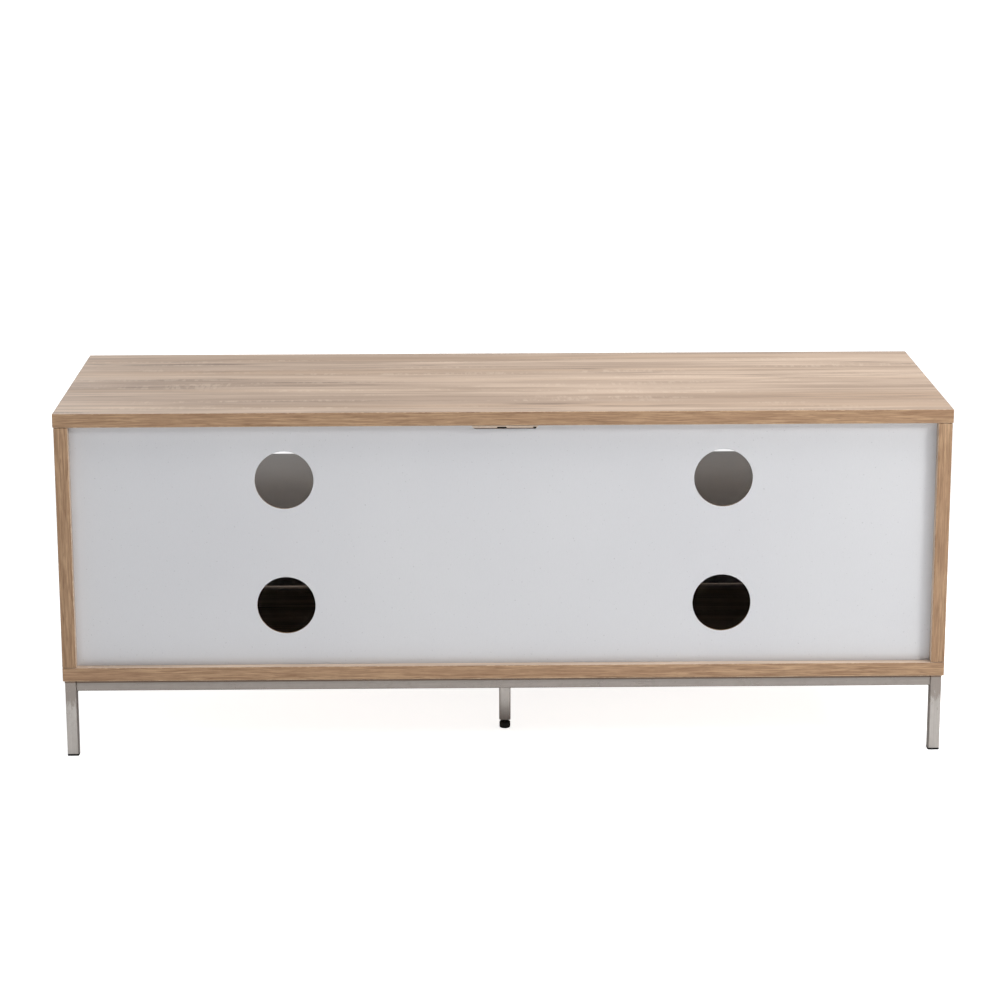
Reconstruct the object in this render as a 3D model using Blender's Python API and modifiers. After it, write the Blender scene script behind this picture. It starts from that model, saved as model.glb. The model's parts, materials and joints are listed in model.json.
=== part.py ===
"""TV stand with two drop-down doors: an oak-look carcase on a square-tube steel base.

Axes: +Z up, +X to the right seen from the front, doors towards -Y.
Origin: on the floor, under the middle of the stand. All lengths are in metres.
"""
import math

import bmesh
import bpy
from mathutils import Matrix
from mathutils import Vector

# ---- overall sizes -------------------------------------------------------------------
WIDTH = 1.140
DEPTH = 0.400
HEIGHT = 0.455
CARCASE_HEIGHT = 0.352
BOARD = 0.018
TOP_OVERHANG = 0.001
GAP = 0.0003
EDGE = 0.0007
OVERSHOOT = 0.001

REAR = DEPTH / 2
FRONT = -DEPTH / 2
TOP_UNDER = HEIGHT - BOARD
BASE_UNDER = HEIGHT - CARCASE_HEIGHT
BASE_TOP = BASE_UNDER + BOARD
SIDE_OUT = WIDTH / 2 - TOP_OVERHANG
SIDE_IN = SIDE_OUT - BOARD
DIVIDER_HALF = BOARD / 2
BAY_CENTRE = (SIDE_IN + DIVIDER_HALF) / 2
SIDES = (("left", -1), ("right", 1))

# ---- back panel ----------------------------------------------------------------------
BACK_RECESS = 0.012
BACK_THICK = 0.003
BACK_REAR = REAR - BACK_RECESS
BACK_FRONT = BACK_REAR - BACK_THICK
GROOVE_DEPTH = 0.0063
CABLE_HOLE_RADIUS = 0.0375
CABLE_HOLE_HEIGHTS = (0.200, 0.365)

# ---- shelves -------------------------------------------------------------------------
UPPER_BAY_HEIGHT = 0.122
SHELF_TOP = TOP_UNDER - UPPER_BAY_HEIGHT
SHELF_UNDER = SHELF_TOP - BOARD
SHELF_FRONT = FRONT + 0.020

# ---- doors and their pivots ----------------------------------------------------------
DOOR_THICK = 0.018
DOOR_END_GAP = 0.002
DOOR_INNER = FRONT + DOOR_THICK
DOOR_FOOT_RADIUS = 0.005
PIVOT_Y = FRONT + DOOR_THICK / 2
PIVOT_Z = BASE_TOP + 0.0117
DOOR_BOTTOM = PIVOT_Z - DOOR_THICK / 2
DOOR_TOP = SHELF_TOP - 0.002
PIN_RADIUS = 0.0025
PIN_LENGTH = 0.0188
PIN_INSET = 0.010
PIN_BORE_DEPTH = 0.0105
BUMPER_OUT = 0.24
BUMPER_RADIUS = 0.004
BUMPER_THICK = 0.0014
STRIKE_RADIUS = 0.008
STRIKE_THICK = 0.0012

# ---- flap stays: both arms of the triangle from the pivot are equally long -----------
# A pair of distances gives radius and depth of a bore, radius and length of a stud, radius
# and height of a head, half length and half height of a plate, or, for a span, the distances
# inward from the side panel's inner face.
STAY_REACH = 0.120
GUIDE_ANGLE = math.radians(28.0)
BRACKET_ANGLE = math.radians(9.1)
GUIDE_Y = PIVOT_Y + STAY_REACH * math.sin(GUIDE_ANGLE)
GUIDE_Z = PIVOT_Z + STAY_REACH * math.cos(GUIDE_ANGLE)
ARM_Y = PIVOT_Y + STAY_REACH * math.sin(BRACKET_ANGLE)
ARM_Z = PIVOT_Z + STAY_REACH * math.cos(BRACKET_ANGLE)
ARM_SLOPE = math.atan2(GUIDE_Z - ARM_Z, GUIDE_Y - ARM_Y)
ARM_X = SIDE_IN - 0.0102
ARM_THICK = 0.002
ARM_WIDTH = 0.008
ARM_LENGTH = 0.2115
STOP_ALONG_ARM = 0.2065
ARM_EYE_RADIUS = 0.0022
STOP_RADIUS = 0.0035
STOP_WIDTH = 0.006
GUIDE_SIZE = (0.0102, 0.014, 0.0130)
GUIDE_X = SIDE_IN - 0.0075
GUIDE_CLEARANCE = 0.0008
GUIDE_FACE = 0.0024
GUIDE_BORE = (0.0028, 0.0050)
GUIDE_EDGE = 0.0005
GUIDE_SLOT_LENGTH = 0.020
MOUNT_THICK = 0.0018
MOUNT_HALF = (0.019, 0.006)
MOUNT_SCREW_OUT = 0.0145
STUD_END = 0.0068
STUD = (0.0025, 0.0058)
BRACKET_THICK = 0.0015
BRACKET_HALF_HEIGHT = 0.012
BRACKET_SPAN = (0.0330, 0.0120)
BRACKET_SCREW_IN = 0.0255
BRACKET_SCREW_OUT = 0.008
LUG_SPAN = (0.0138, 0.0120)
LUG_SINK = 0.0004
LUG_HALF_HEIGHT = 0.005
# Round parts of the bracket: name, distance inward of its end, radius, length.
BRACKET_RODS = (
    ("lug_end", 0.0138, 0.0050, 0.0018),
    ("arm_pin", 0.0134, 0.0019, 0.0050),
    ("arm_pin_head", 0.0088, 0.0031, 0.0012),
)
SCREW_SHEET_DEPTH = 0.0030

# ---- touch catches -------------------------------------------------------------------
CATCH_Z = SHELF_UNDER - 0.0085
CATCH_FRONT = DOOR_INNER + 0.010
CATCH_LENGTH = 0.054
CATCH_HALF_WIDTH = 0.007
CATCH_DROP = 0.0055
CATCH_BORE = (0.0040, 0.0440)
EAR_BACK = 0.030
EAR_HALF = (0.019, 0.006)
EAR_THICK = 0.0025
EAR_SCREW_OUT = 0.0135
EAR_BORE_DEPTH = 0.0040
PLUNGER_RADIUS = 0.0035
PLUNGER_LENGTH = 0.0450
PLUNGER_TIP_RADIUS = 0.0045
PLUNGER_TIP_LENGTH = 0.0035
PLUNGER_FACE_RADIUS = 0.0040
PLUNGER_TIP_EDGE = 0.0008

# ---- base frame ----------------------------------------------------------------------
TUBE = 0.015
TUBE_WALL = 0.0015
TUBE_CORNER = 0.002
FRAME_SIDE_SETBACK = 0.0025
FRAME_END_SETBACK = 0.0075
FRAME_X = WIDTH / 2 - FRAME_SIDE_SETBACK - TUBE / 2
FRAME_Y = REAR - FRAME_END_SETBACK - TUBE / 2
FRAME_TOP = BASE_UNDER - GAP
RAIL_Z = FRAME_TOP - TUBE / 2
CAP_FLANGE = 0.0024
CAP_PLUG_LENGTH = 0.010
CAP_PLUG_PLAY = 0.0008
CENTRE_LEG_X = -0.0026
CENTRE_LEG_Y = 0.085
CENTRE_LEG_BOTTOM = 0.0126
FOOT_RADIUS = 0.0073
FOOT_HEIGHT = 0.0095
FOOT_EDGE = 0.0010
FOOT_SOLE_EDGE = 0.0012
STUD_RADIUS = 0.004
STUD_TOP = 0.0450
STUD_TIP_EDGE = 0.0008
INSERT_PLAY = 0.0007
INSERT_LENGTH = 0.0183
INSERT_BORE_DEPTH = 0.020
INSERT_EDGE = 0.0004

# ---- joinery -------------------------------------------------------------------------
CAM_RADIUS = 0.0075
CAM_DISTANCE = 0.024
CAM_BORE_DEPTH = 0.0125
CAM_ROWS = (-0.150, 0.150)
SCREW_RADIUS = 0.0018
SCREW_HOLE = SCREW_RADIUS + GAP
SCREW_BORE_DEPTH = 0.0125
BUSH_RADIUS = 0.004
BUSH_DEPTH = 0.0073
BUSH_FLANGE_RADIUS = 0.0060
BUSH_FLANGE_END = -0.0015
FRAME_SCREW_RADIUS = 0.0023
FRAME_SCREW_XS = (-0.45, 0.45)
FRAME_SCREW_LENGTH = 0.0140
FRAME_SCREW_HEAD = (0.0045, 0.0025)
FRAME_SCREW_BORE_DEPTH = 0.0130
ACCESS_RADIUS = 0.0055

# ---- slotted anchor bracket at the middle of the back --------------------------------
ANCHOR_X = (-0.0430, 0.0405)
ANCHOR_THICK = 0.0012
ANCHOR_CORNER = 0.0050
ANCHOR_BOTTOM = TOP_UNDER - 0.0063
ANCHOR_TOP = TOP_UNDER - GAP
ANCHOR_FACE = BACK_REAR + GAP
ANCHOR_SLOT_X = (-0.0033, 0.0086)
ANCHOR_SLOT_Z = (ANCHOR_BOTTOM + 0.0009, ANCHOR_BOTTOM + 0.0047)
ANCHOR_POCKET_DEPTH = 0.012
ANCHOR_SCREW = (-0.0390, ANCHOR_BOTTOM + 0.0024)
ANCHOR_LEG_SETBACK = 0.0006
ANCHOR_SCREW_RADIUS = 0.0012
ANCHOR_SCREW_LENGTH = 0.0045
ANCHOR_SCREW_HEAD = (0.0023, 0.0013)

X_AXIS = Vector((1, 0, 0))
Y_AXIS = Vector((0, 1, 0))
Z_AXIS = Vector((0, 0, 1))

MATERIALS = {
    "oak_decor": ((0.56, 0.43, 0.31), 0.55, 0.0),
    "white_board": ((0.83, 0.83, 0.82), 0.45, 0.0),
    "white_back": ((0.78, 0.79, 0.80), 0.55, 0.0),
    "chrome_tube": ((0.62, 0.61, 0.59), 0.18, 1.0),
    "zinc_steel": ((0.60, 0.60, 0.58), 0.35, 1.0),
    "black_plastic": ((0.02, 0.02, 0.02), 0.50, 0.0),
    "white_plastic": ((0.80, 0.80, 0.78), 0.45, 0.0),
    "black_screw": ((0.04, 0.035, 0.03), 0.40, 1.0),
    "clear_rubber": ((0.75, 0.76, 0.76), 0.30, 0.0),
}


# ---- scene and material helpers ------------------------------------------------------
def clear_scene():
    for obj in list(bpy.data.objects):
        bpy.data.objects.remove(obj, do_unlink=True)


def new_collection(name):
    collection = bpy.data.collections.new(name)
    bpy.context.scene.collection.children.link(collection)
    return collection


def make_material(name):
    color, roughness, metallic = MATERIALS[name]
    material = bpy.data.materials.new(name)
    material.use_nodes = True
    shader = material.node_tree.nodes["Principled BSDF"]
    shader.inputs["Base Color"].default_value = (*color, 1.0)
    shader.inputs["Roughness"].default_value = roughness
    shader.inputs["Metallic"].default_value = metallic
    return material


clear_scene()
PARTS = new_collection("tv_stand")
CUTTERS = new_collection("cutters")


# ---- shape helpers -------------------------------------------------------------------
def add_object(name, bm, centre, material=None, parent=None, smooth=False):
    """Turn a bmesh built round its own centre into an object placed at `centre`."""
    mesh = bpy.data.meshes.new(name)
    bm.to_mesh(mesh)
    bm.free()
    obj = bpy.data.objects.new(name, mesh)
    obj.location = Vector(centre)
    if parent:
        obj.parent = parent
        obj.location = Vector(centre) - parent.location
    if material:
        mesh.materials.append(make_material(material))
        mesh.materials[0].name = f"{name}_{material}"
        PARTS.objects.link(obj)
    else:
        obj.hide_render = True
        obj.display_type = "WIRE"
        CUTTERS.objects.link(obj)
    if smooth:
        mesh.shade_smooth()
        mesh.set_sharp_from_angle(angle=math.radians(35))
    return obj


def box_bmesh(size):
    bm = bmesh.new()
    bmesh.ops.create_cube(bm, size=1.0)
    bmesh.ops.scale(bm, vec=Vector(size), verts=bm.verts)
    return bm


def box(name, low, high, material=None, parent=None, edge=0.0):
    """A block from its lowest to its highest corner, its edges eased by `edge`."""
    low = Vector(low)
    high = Vector(high)
    obj = add_object(name, box_bmesh(high - low), (low + high) / 2, material, parent)
    if edge:
        ease(obj, edge)
    return obj


def ease(obj, width, segments=1):
    bevel = obj.modifiers.new("eased edges", "BEVEL")
    bevel.width = width
    bevel.segments = segments
    bevel.limit_method = "ANGLE"
    bevel.angle_limit = math.radians(50)
    bevel.use_clamp_overlap = True


def bevel_edges(bm, edges, radius, segments):
    bmesh.ops.bevel(
        bm, geom=edges, offset=radius, segments=segments, profile=0.5, affect="EDGES"
    )


def add_rod(bm, start, direction, radius, length, segments):
    """Add one closed cylinder that runs from `start` along `direction`."""
    turn = Z_AXIS.rotation_difference(Vector(direction)).to_matrix().to_4x4()
    middle = Vector(start) + Vector(direction) * (length / 2)
    bmesh.ops.create_cone(
        bm,
        cap_ends=True,
        segments=segments,
        radius1=radius,
        radius2=radius,
        depth=length,
        matrix=Matrix.Translation(middle) @ turn,
    )


def rod(name, start, direction, radius, length, material=None, parent=None, segments=12):
    """One cylinder that runs from `start` along `direction`."""
    bm = bmesh.new()
    add_rod(bm, (0.0, 0.0, 0.0), direction, radius, length, segments)
    return add_object(name, bm, start, material, parent, smooth=True)


def boolean(obj, tool, operation="DIFFERENCE"):
    cut = obj.modifiers.new(tool.name, "BOOLEAN")
    cut.object = tool
    cut.operation = operation
    cut.solver = "EXACT"
    return obj


def cut_bores(obj, name, places, radius, depth, segments=8):
    """Blind bores whose mouths are at `places`, each cutter standing proud of the face."""
    origin = Vector(places[0][0])
    bm = bmesh.new()
    for start, way in places:
        mouth = Vector(start) - origin - Vector(way) * OVERSHOOT
        add_rod(bm, mouth, way, radius, depth + OVERSHOOT, segments)
    return boolean(obj, add_object(f"{name}_cutter", bm, origin))


def turned(name, profile, start, direction, material, parent=None, segments=12):
    """A lathe shape; the profile runs down the outer side, top to bottom, along its +Z."""
    bm = bmesh.new()
    points = [bm.verts.new((radius, 0.0, height)) for radius, height in profile]
    for first, second in zip(points, points[1:]):
        bm.edges.new((first, second))
    if profile[0][0] > 0:
        bm.edges.new((points[-1], points[0]))
    piece = add_object(name, bm, start, material, parent)
    piece.rotation_mode = "QUATERNION"
    piece.rotation_quaternion = Z_AXIS.rotation_difference(Vector(direction))
    screw = piece.modifiers.new("lathe", "SCREW")
    screw.axis = "Z"
    screw.angle = math.tau
    screw.steps = segments
    screw.render_steps = segments
    screw.use_smooth_shade = True
    screw.use_merge_vertices = True
    screw.merge_threshold = 0.00002
    return piece


def screw_profile(radius, length, head_size):
    """A pan-head screw: its seat at height 0, its thread running up to `length`."""
    head_radius, head = head_size
    return [
        (0.0, length),
        (radius * 0.5, length),
        (radius, length - radius),
        (radius, 0.0),
        (head_radius, 0.0),
        (head_radius, -head * 0.6),
        (head_radius * 0.75, -head),
        (0.0, -head),
    ]


def square_tube(name, start, end, material="chrome_tube", holes=()):
    """An open-ended square tube between two points on one of the main axes."""
    start = Vector(start)
    end = Vector(end)
    along = (end - start).normalized()
    size = Vector([TUBE + abs(a) * ((end - start).length - TUBE) for a in along])
    bm = box_bmesh(size)
    long_edges = [
        edge for edge in bm.edges
        if abs((edge.verts[1].co - edge.verts[0].co).normalized().dot(along)) > 0.9
    ]
    bevel_edges(bm, long_edges, TUBE_CORNER, 3)
    ends = [face for face in bm.faces if abs(face.normal.dot(along)) > 0.9]
    bmesh.ops.delete(bm, geom=ends, context="FACES")
    tube = add_object(name, bm, (start + end) / 2, material, smooth=True)
    wall = tube.modifiers.new("tube wall", "SOLIDIFY")
    wall.thickness = TUBE_WALL
    wall.offset = -1.0
    wall.use_even_offset = True
    for label, places, radius, depth in holes:
        cut_bores(tube, f"{name}_{label}", places, radius, depth, segments=12)
    return tube


def axis_empty(name, place):
    """An empty on a joint's axis, the parent of the pieces that turn or slide on it."""
    empty = bpy.data.objects.new(name, None)
    empty.location = Vector(place)
    PARTS.objects.link(empty)
    return empty


# ---- places shared by several pieces -------------------------------------------------
def cam_places(x, facing):
    """Mouths of an upright's four cam bores, with the way into the board."""
    face_x = x + facing * BOARD / 2
    heights = (BASE_TOP + CAM_DISTANCE, TOP_UNDER - CAM_DISTANCE)
    return [((face_x, y, z), -facing * X_AXIS) for y in CAM_ROWS for z in heights]


def pivot_places(side):
    """Bush seats of one door: on the side panel and on the divider."""
    outer = ((side * SIDE_IN, PIVOT_Y, PIVOT_Z), side * X_AXIS)
    inner = ((side * DIVIDER_HALF, PIVOT_Y, PIVOT_Z), -side * X_AXIS)
    return outer, inner


def stay_screw_places(side, inward):
    """Axes of the two screws through a stay's plate, `inward` from the side panel."""
    x = side * (SIDE_IN - inward)
    offsets = (-MOUNT_SCREW_OUT, MOUNT_SCREW_OUT)
    return [((x, GUIDE_Y + dy, GUIDE_Z), side * X_AXIS) for dy in offsets]


def bracket_screw_places(side, y):
    """Axes of the two screws through a stay's bracket into the door."""
    x = side * (SIDE_IN - BRACKET_SCREW_IN)
    offsets = (-BRACKET_SCREW_OUT, BRACKET_SCREW_OUT)
    return [((x, y, ARM_Z + dz), -Y_AXIS) for dz in offsets]


def catch_screw_places(side, z):
    """Axes of the two screws through a catch's ears up into the shelf."""
    y = CATCH_FRONT + EAR_BACK
    offsets = (-EAR_SCREW_OUT, EAR_SCREW_OUT)
    return [((side * BAY_CENTRE + dx, y, z), Z_AXIS) for dx in offsets]


def frame_screw_places():
    """Name and axis of the screws that fix the rails up into the bottom board."""
    return [
        (f"{name}_{place}_frame_screw", x, y)
        for (name, _), x in zip(SIDES, FRAME_SCREW_XS)
        for place, y in (("front", -FRAME_Y), ("rear", FRAME_Y))
    ]


def side_span(side, inner, outer):
    """Sorted x limits between two distances inward from the side panel's inner face."""
    return sorted((side * (SIDE_IN - inner), side * (SIDE_IN - outer)))


# ---- carcase -------------------------------------------------------------------------
def back_groove(panel, low, high):
    """The groove that holds the back panel, between two (x, z) corners."""
    low = (low[0], BACK_FRONT - GAP, low[1])
    high = (high[0], BACK_REAR + GAP, high[1])
    boolean(panel, box(f"{panel.name}_groove", low, high))


def build_top_and_bottom():
    reach = SIDE_IN + GROOVE_DEPTH
    top = box(
        "top_panel",
        (-WIDTH / 2, FRONT, TOP_UNDER),
        (WIDTH / 2, REAR, HEIGHT),
        "oak_decor",
        edge=EDGE,
    )
    back_groove(top, (-reach, TOP_UNDER - OVERSHOOT), (reach, TOP_UNDER + GROOVE_DEPTH))
    bottom = box(
        "bottom_panel",
        (-SIDE_OUT, FRONT, BASE_UNDER),
        (SIDE_OUT, REAR, BASE_TOP),
        "oak_decor",
        edge=EDGE,
    )
    back_groove(bottom, (-reach, BASE_TOP - GROOVE_DEPTH), (reach, BASE_TOP + OVERSHOOT))
    fixings = [((x, y, BASE_UNDER), Z_AXIS) for _, x, y in frame_screw_places()]
    radius = FRAME_SCREW_RADIUS + GAP
    cut_bores(bottom, "bottom_panel_fixings", fixings, radius, FRAME_SCREW_BORE_DEPTH)


def build_upright(name, x, facing, rear):
    """A side panel or the divider, with the bores of its cam fittings."""
    low = (x - BOARD / 2, FRONT, BASE_TOP + GAP)
    high = (x + BOARD / 2, rear, TOP_UNDER - GAP)
    panel = box(name, low, high, "oak_decor", edge=EDGE)
    cut_bores(panel, f"{name}_cams", cam_places(x, facing), CAM_RADIUS, CAM_BORE_DEPTH, 20)
    return panel


def build_side_panel(name, side):
    middle = side * (SIDE_IN + SIDE_OUT) / 2
    panel = build_upright(f"{name}_side_panel", middle, -side, REAR)
    edges = sorted((side * (SIDE_IN - OVERSHOOT), side * (SIDE_IN + GROOVE_DEPTH)))
    back_groove(panel, (edges[0], BASE_TOP - OVERSHOOT), (edges[1], TOP_UNDER + OVERSHOOT))
    outer_bush, _ = pivot_places(side)
    cut_bores(panel, f"{name}_side_bush", [outer_bush], BUSH_RADIUS + GAP, BUSH_DEPTH + GAP, 12)
    seats = stay_screw_places(side, 0.0)
    cut_bores(panel, f"{name}_side_stay", seats, SCREW_HOLE, SCREW_BORE_DEPTH)


def build_divider():
    divider = build_upright("centre_divider", 0.0, 1, BACK_FRONT - GAP)
    bushes = [pivot_places(side)[1] for _, side in SIDES]
    cut_bores(divider, "divider_bushes", bushes, BUSH_RADIUS + GAP, BUSH_DEPTH + GAP, 12)
    low = (ANCHOR_SLOT_X[0], BACK_FRONT - ANCHOR_POCKET_DEPTH, ANCHOR_SLOT_Z[0])
    high = (ANCHOR_SLOT_X[1], BACK_FRONT + OVERSHOOT, ANCHOR_SLOT_Z[1])
    boolean(divider, box("divider_anchor_pocket", low, high))


def build_shelf(name, side):
    edges = sorted((side * (DIVIDER_HALF + GAP), side * (SIDE_IN - GAP)))
    low = (edges[0], SHELF_FRONT, SHELF_UNDER)
    high = (edges[1], BACK_FRONT - GAP, SHELF_TOP)
    shelf = box(f"{name}_shelf", low, high, "white_board", edge=EDGE)
    seats = catch_screw_places(side, SHELF_UNDER)
    cut_bores(shelf, f"{name}_shelf_screws", seats, SCREW_HOLE, SCREW_BORE_DEPTH)


def build_back_panel():
    half = SIDE_IN + GROOVE_DEPTH - GAP
    low = (-half, BACK_FRONT, BASE_TOP - GROOVE_DEPTH + GAP)
    high = (half, BACK_REAR, TOP_UNDER + GROOVE_DEPTH - GAP)
    back = box("back_panel", low, high, "white_back")
    holes = [
        ((side * BAY_CENTRE, BACK_FRONT, height), Y_AXIS)
        for _, side in SIDES
        for height in CABLE_HOLE_HEIGHTS
    ]
    through = BACK_THICK + OVERSHOOT
    cut_bores(back, "cable_holes", holes, CABLE_HOLE_RADIUS, through, 48)
    low = (ANCHOR_SLOT_X[0], BACK_FRONT - OVERSHOOT, ANCHOR_SLOT_Z[0])
    high = (ANCHOR_SLOT_X[1], BACK_REAR + OVERSHOOT, ANCHOR_SLOT_Z[1])
    boolean(back, box("back_anchor_window", low, high))
    screw = [((ANCHOR_SCREW[0], BACK_REAR, ANCHOR_SCREW[1]), -Y_AXIS)]
    cut_bores(back, "back_anchor_screw", screw, ANCHOR_SCREW_RADIUS + GAP, through)


# ---- anchor bracket ------------------------------------------------------------------
def build_anchor():
    """An L-shaped steel strip: one leg under the top board, one against the back panel."""
    left, right = ANCHOR_X
    bm = box_bmesh((right - left, ANCHOR_THICK, ANCHOR_TOP - ANCHOR_BOTTOM))
    corners = [
        edge for edge in bm.edges
        if all(vert.co.z < 0 for vert in edge.verts)
        and abs(edge.verts[0].co.y - edge.verts[1].co.y) > ANCHOR_THICK / 2
    ]
    bevel_edges(bm, corners, ANCHOR_CORNER, 5)
    rear_face = ANCHOR_FACE + ANCHOR_THICK
    height = (ANCHOR_TOP + ANCHOR_BOTTOM) / 2
    middle = ((left + right) / 2, ANCHOR_FACE + ANCHOR_THICK / 2, height)
    plate = add_object("anchor_bracket", bm, middle, "zinc_steel")
    low = (left, ANCHOR_FACE, ANCHOR_TOP - ANCHOR_THICK)
    high = (right, REAR - ANCHOR_LEG_SETBACK, ANCHOR_TOP)
    boolean(plate, box("anchor_upper_leg", low, high), "UNION")
    low = (ANCHOR_SLOT_X[0], ANCHOR_FACE - OVERSHOOT, ANCHOR_SLOT_Z[0])
    high = (ANCHOR_SLOT_X[1], rear_face + OVERSHOOT, ANCHOR_SLOT_Z[1])
    boolean(plate, box("anchor_slot", low, high))
    mouth = (ANCHOR_SCREW[0], rear_face, ANCHOR_SCREW[1])
    through = ANCHOR_THICK + OVERSHOOT
    cut_bores(plate, "anchor_hole", [(mouth, -Y_AXIS)], ANCHOR_SCREW_RADIUS + GAP, through)
    seat = (mouth[0], rear_face + GAP, mouth[2])
    profile = screw_profile(ANCHOR_SCREW_RADIUS, ANCHOR_SCREW_LENGTH, ANCHOR_SCREW_HEAD)
    turned("anchor_screw", profile, seat, -Y_AXIS, "black_screw", segments=10)


# ---- doors ---------------------------------------------------------------------------
def build_door_slab(name, side, hinge):
    """The flap; its two long lower edges are rounded so that it clears the bottom board."""
    low_x, high_x = side_span(side, SIDE_IN - DIVIDER_HALF - DOOR_END_GAP, DOOR_END_GAP)
    bm = box_bmesh((high_x - low_x, DOOR_THICK, DOOR_TOP - DOOR_BOTTOM))
    lower = [edge for edge in bm.edges if all(vert.co.z < 0 for vert in edge.verts)]
    long_lower = [edge for edge in lower if edge.verts[0].co.y * edge.verts[1].co.y > 0]
    bevel_edges(bm, long_lower, DOOR_FOOT_RADIUS, 4)
    middle = ((low_x + high_x) / 2, PIVOT_Y, (DOOR_TOP + DOOR_BOTTOM) / 2)
    door = add_object(f"{name}_door", bm, middle, "white_board", hinge)
    ease(door, EDGE)
    ends = [((low_x, PIVOT_Y, PIVOT_Z), X_AXIS), ((high_x, PIVOT_Y, PIVOT_Z), -X_AXIS)]
    cut_bores(door, f"{name}_door_pin_bores", ends, PIN_RADIUS + GAP, PIN_BORE_DEPTH, 12)
    seats = bracket_screw_places(side, DOOR_INNER)
    cut_bores(door, f"{name}_door_screw_bores", seats, SCREW_HOLE, SCREW_BORE_DEPTH)
    for (start, way), place in zip(ends, ("left", "right")):
        inside = Vector(start) + way * PIN_INSET
        label = f"{name}_door_{place}_pin"
        rod(label, inside, -way, PIN_RADIUS, PIN_LENGTH, "zinc_steel", hinge)


def build_pivot_bushes(name, side):
    """Flanged sleeves in the side panel and the divider, where a door's pins turn."""
    profile = [
        (BUSH_RADIUS, BUSH_DEPTH),
        (BUSH_RADIUS, -GAP),
        (BUSH_FLANGE_RADIUS, -GAP),
        (BUSH_FLANGE_RADIUS, BUSH_FLANGE_END),
        (PIN_RADIUS + GAP, BUSH_FLANGE_END),
        (PIN_RADIUS + GAP, BUSH_DEPTH),
    ]
    for place, (start, way) in zip(("outer", "inner"), pivot_places(side)):
        turned(f"{name}_{place}_pivot_bush", profile, start, way, "white_plastic")


def build_stay_bracket(name, side, hinge):
    """A bent plate on the door with a lug and the riveted pin that the arm turns on."""
    outward = side * X_AXIS
    face = DOOR_INNER + GAP
    rear_face = face + BRACKET_THICK
    x_low, x_high = side_span(side, *BRACKET_SPAN)
    low = (x_low, face, ARM_Z - BRACKET_HALF_HEIGHT)
    high = (x_high, rear_face, ARM_Z + BRACKET_HALF_HEIGHT)
    plate = box(f"{name}_stay_bracket", low, high, "zinc_steel", hinge)
    lug_low, lug_high = side_span(side, *LUG_SPAN)
    low = (lug_low, face + LUG_SINK, ARM_Z - LUG_HALF_HEIGHT)
    high = (lug_high, ARM_Y, ARM_Z + LUG_HALF_HEIGHT)
    boolean(plate, box(f"{name}_lug", low, high, parent=hinge), "UNION")
    for label, inward, radius, length in BRACKET_RODS:
        start = (side * (SIDE_IN - inward), ARM_Y, ARM_Z)
        tool = rod(f"{name}_{label}", start, outward, radius, length, parent=hinge)
        boolean(plate, tool, "UNION")
    holes = bracket_screw_places(side, rear_face)
    cut_bores(plate, f"{name}_bracket_holes", holes, SCREW_HOLE, SCREW_SHEET_DEPTH)


def build_door(name, side):
    hinge = axis_empty(f"{name}_door_axis", (side * BAY_CENTRE, PIVOT_Y, PIVOT_Z))
    build_door_slab(name, side, hinge)
    build_stay_bracket(name, side, hinge)
    face = DOOR_INNER + GAP
    strike = (side * BAY_CENTRE, face, CATCH_Z)
    label = f"{name}_strike_plate"
    rod(label, strike, Y_AXIS, STRIKE_RADIUS, STRIKE_THICK, "zinc_steel", hinge, 20)
    bumper_z = (SHELF_UNDER + DOOR_TOP) / 2
    for place, dx in (("left", -BUMPER_OUT), ("right", BUMPER_OUT)):
        start = (side * BAY_CENTRE + dx, face, bumper_z)
        label = f"{name}_door_{place}_bumper"
        rod(label, start, Y_AXIS, BUMPER_RADIUS, BUMPER_THICK, "clear_rubber", hinge)


# ---- flap stays ----------------------------------------------------------------------
def build_stay_mount(name, side):
    """The plate on the side panel with the stud that the guide turns on."""
    x_low, x_high = side_span(side, MOUNT_THICK, GAP)
    half_length, half_height = MOUNT_HALF
    low = (x_low, GUIDE_Y - half_length, GUIDE_Z - half_height)
    high = (x_high, GUIDE_Y + half_length, GUIDE_Z + half_height)
    plate = box(f"{name}_stay_mount", low, high, "zinc_steel")
    start = (side * (SIDE_IN - STUD_END), GUIDE_Y, GUIDE_Z)
    boolean(plate, rod(f"{name}_stud", start, side * X_AXIS, *STUD), "UNION")
    holes = stay_screw_places(side, MOUNT_THICK)
    cut_bores(plate, f"{name}_mount_holes", holes, SCREW_HOLE, SCREW_SHEET_DEPTH)


def build_stay_guide(name, side, tilt):
    """The block that turns on the stud and that the arm slides through."""
    outward = side * X_AXIS
    axis = axis_empty(f"{name}_guide_axis", (side * GUIDE_X, GUIDE_Y, GUIDE_Z))
    block = add_object(
        f"{name}_stay_guide", box_bmesh(GUIDE_SIZE), axis.location, "black_plastic", axis
    )
    block.rotation_euler = tilt
    ease(block, GUIDE_EDGE)
    mouth = (side * (SIDE_IN - GUIDE_FACE), GUIDE_Y, GUIDE_Z)
    cut_bores(block, f"{name}_guide_bore", [(mouth, -outward)], *GUIDE_BORE, 12)
    size = (ARM_THICK + GUIDE_CLEARANCE, GUIDE_SLOT_LENGTH, ARM_WIDTH + GUIDE_CLEARANCE)
    slot = add_object(f"{name}_guide_slot", box_bmesh(size), (side * ARM_X, GUIDE_Y, GUIDE_Z))
    slot.rotation_euler = tilt
    boolean(block, slot)


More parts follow.
